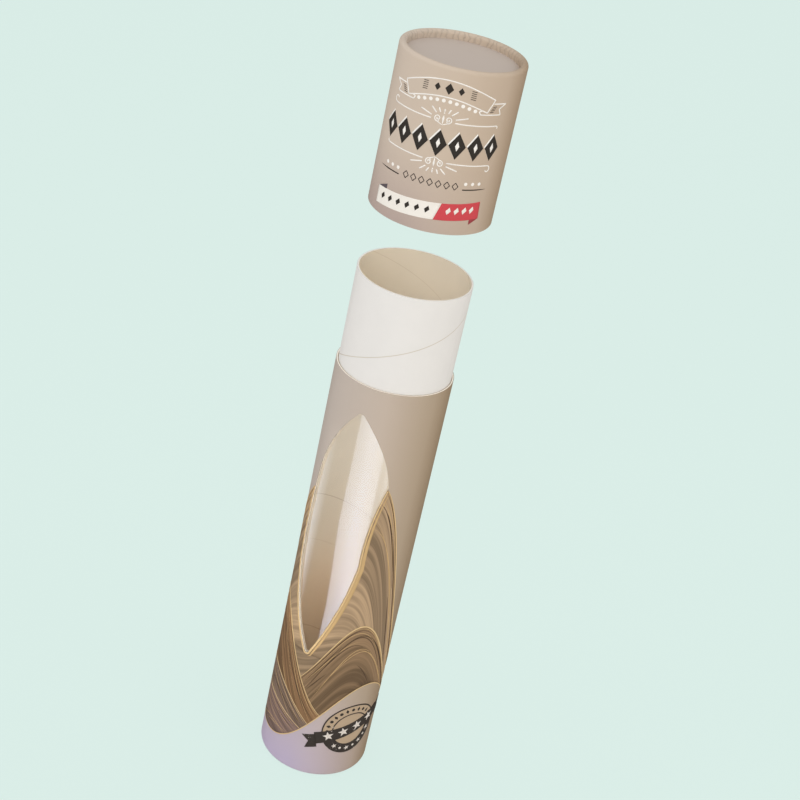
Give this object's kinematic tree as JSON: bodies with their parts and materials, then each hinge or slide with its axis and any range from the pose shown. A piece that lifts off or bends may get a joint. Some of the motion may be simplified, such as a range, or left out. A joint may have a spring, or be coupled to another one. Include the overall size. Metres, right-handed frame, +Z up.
{
  "type": "cylindrical gift tube box",
  "caption": "Spiral-wound paper gift tube with a shaped clear window, rolled foot, white inner neck and a deep slip lid that lifts off.",
  "frame": {"origin": "centre of the pressed-flat ring on which the tube stands", "axes": "+Z up along the tube's axis towards the lid, window facing -Y, +X to the right seen from the front"},
  "size_m": [0.065, 0.065, 0.444],
  "materials": {
    "printed_wrap": "satin laminated print",
    "lid_wrap": "satin laminated print",
    "white_board": "cut board edge",
    "kraft_board": "cut board edge",
    "grey_board": "matte",
    "white_paper": "matte",
    "beige_lining": "matte",
    "disc_paper": "satin",
    "clear_film": "clear gloss"
  },
  "bodies": {
    "tube": {"tube_wrap": "printed_wrap", "tube_board": "white_board", "window_film": "clear_film", "neck_paper": "white_paper", "neck_board": "kraft_board", "neck_lining": "beige_lining", "base_board": "grey_board", "base_paper": "disc_paper", "base_lining": "beige_lining"},
    "lid": {"lid_wrap": "lid_wrap", "lid_board": "white_board", "lid_lining": "beige_lining", "lid_top_board": "grey_board", "lid_top_paper": "disc_paper", "lid_top_lining": "beige_lining"}
  },
  "joints": [
    {"name": "lid_lift", "type": "slide", "parent": "tube", "child": "lid", "axis": [0, 0, 1], "range_m": [-0.0939, 0.03]}
  ]
}
